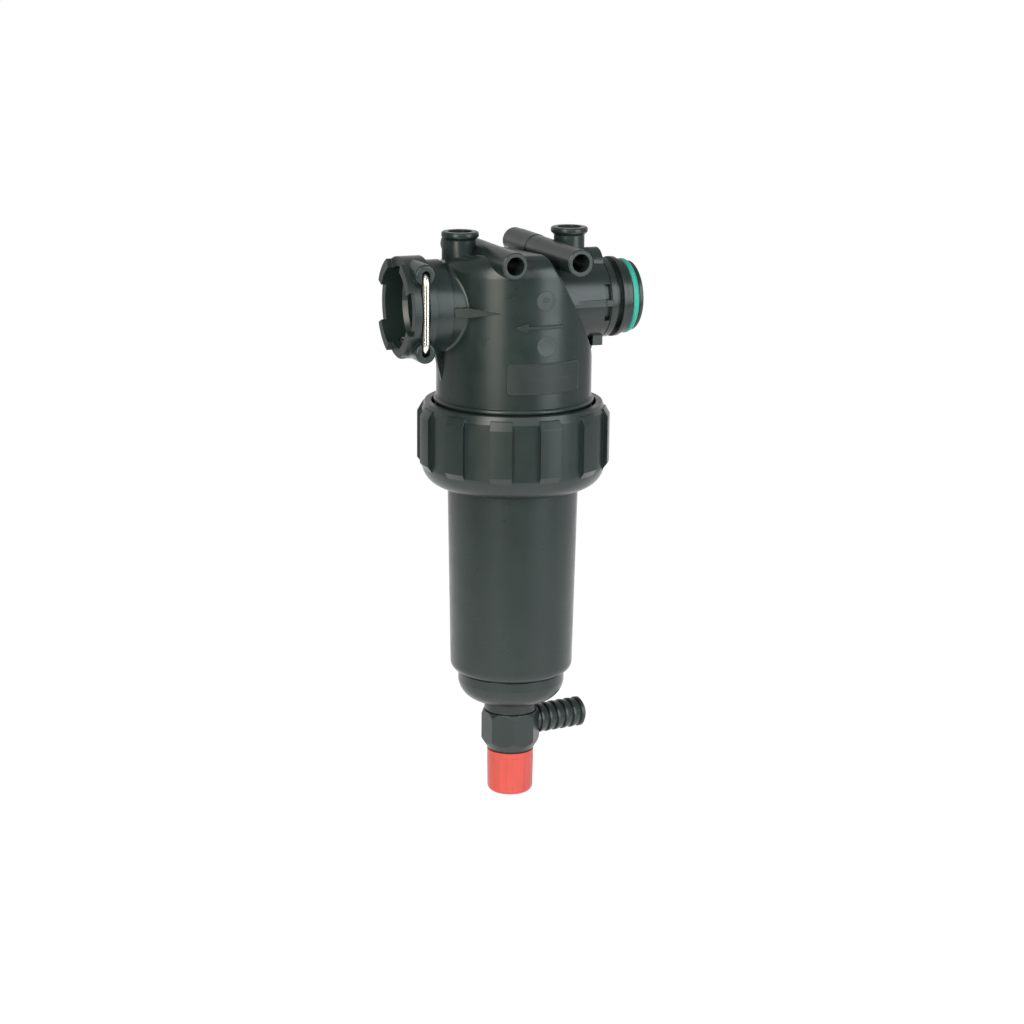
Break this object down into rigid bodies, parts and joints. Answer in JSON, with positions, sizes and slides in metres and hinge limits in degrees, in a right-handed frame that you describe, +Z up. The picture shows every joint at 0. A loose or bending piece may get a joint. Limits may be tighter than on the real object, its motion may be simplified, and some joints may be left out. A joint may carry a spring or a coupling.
{
  "type": "pressure filter",
  "caption": "Inline pressure filter with fork couplings, ring-nut bowl, mesh cartridge and a knob-operated drain valve with a hose tail.",
  "frame": {"origin": "midway between the two bolt holes, on their common height, in the plane of the port axes", "axes": "+X along the ports towards the inlet spigot, -Y to the front, where the fork clip is drawn out, +Z up along the bowl's axis"},
  "size_m": [0.1192, 0.0914, 0.2763],
  "materials": {
    "housing": "moulded glass-filled plastic, soft satin sheen",
    "ring_plastic": "moulded glass-filled plastic, fine grain",
    "valve_plastic": "moulded plastic, satin",
    "red_knob": "moulded plastic, semi-gloss",
    "green_seal": "green elastomer, smooth",
    "black_seal": "black elastomer, smooth",
    "wire_steel": "drawn stainless wire",
    "mesh_steel": "woven stainless mesh",
    "cage_plastic": "moulded plastic"
  },
  "bodies": {
    "head": {"head_body": "housing", "inlet_seal": "green_seal"},
    "fork_clip": {"outlet_fork_clip": "wire_steel"},
    "bowl": {"bowl": "housing", "bowl_seal": "black_seal", "drain_body": "valve_plastic", "drain_gasket": "black_seal"},
    "lock_ring": {"lock_ring": "ring_plastic"},
    "cartridge": {"cartridge_top_ring": "cage_plastic", "cartridge_top_seal": "black_seal", "cartridge_cage": "cage_plastic", "cartridge_mesh": "mesh_steel", "cartridge_bottom_cap": "cage_plastic", "cartridge_bottom_seal": "black_seal"},
    "drain_stem": {"drain_stem": "valve_plastic", "drain_stem_seals": "black_seal", "drain_seat_seal": "black_seal"},
    "drain_knob": {"drain_knob": "red_knob", "drain_stem_clip": "wire_steel"}
  },
  "joints": [
    {"name": "fork_pull", "type": "slide", "parent": "head", "child": "fork_clip", "axis": [0, -1, 0], "range_m": [0, 0.045]},
    {"name": "bowl_drop", "type": "slide", "parent": "head", "child": "bowl", "axis": [0, 0, -1], "range_m": [0, 0.175]},
    {"name": "lock_ring_turn", "type": "hinge", "parent": "bowl", "child": "lock_ring", "pos_m": [0, 0, -0.0929], "axis": [0, 0, -1], "range_deg": [0, 1080]},
    {"name": "cartridge_pull", "type": "slide", "parent": "head", "child": "cartridge", "axis": [0, 0, -1], "range_m": [0, 0.03]},
    {"name": "drain_stem_slide", "type": "slide", "parent": "bowl", "child": "drain_stem", "axis": [0, 0, -1], "range_m": [0, 0.0031]},
    {"name": "drain_knob_turn", "type": "hinge", "parent": "drain_stem", "child": "drain_knob", "pos_m": [0, 0, -0.2529], "axis": [0, 0, -1], "range_deg": [0, 540]}
  ],
  "couplings": [
    {"joint": "cartridge_pull", "follows": "bowl_drop", "ratio": 0.15},
    {"joint": "drain_stem_slide", "follows": "drain_knob_turn", "m_per_rad": 0.00031831}
  ]
}
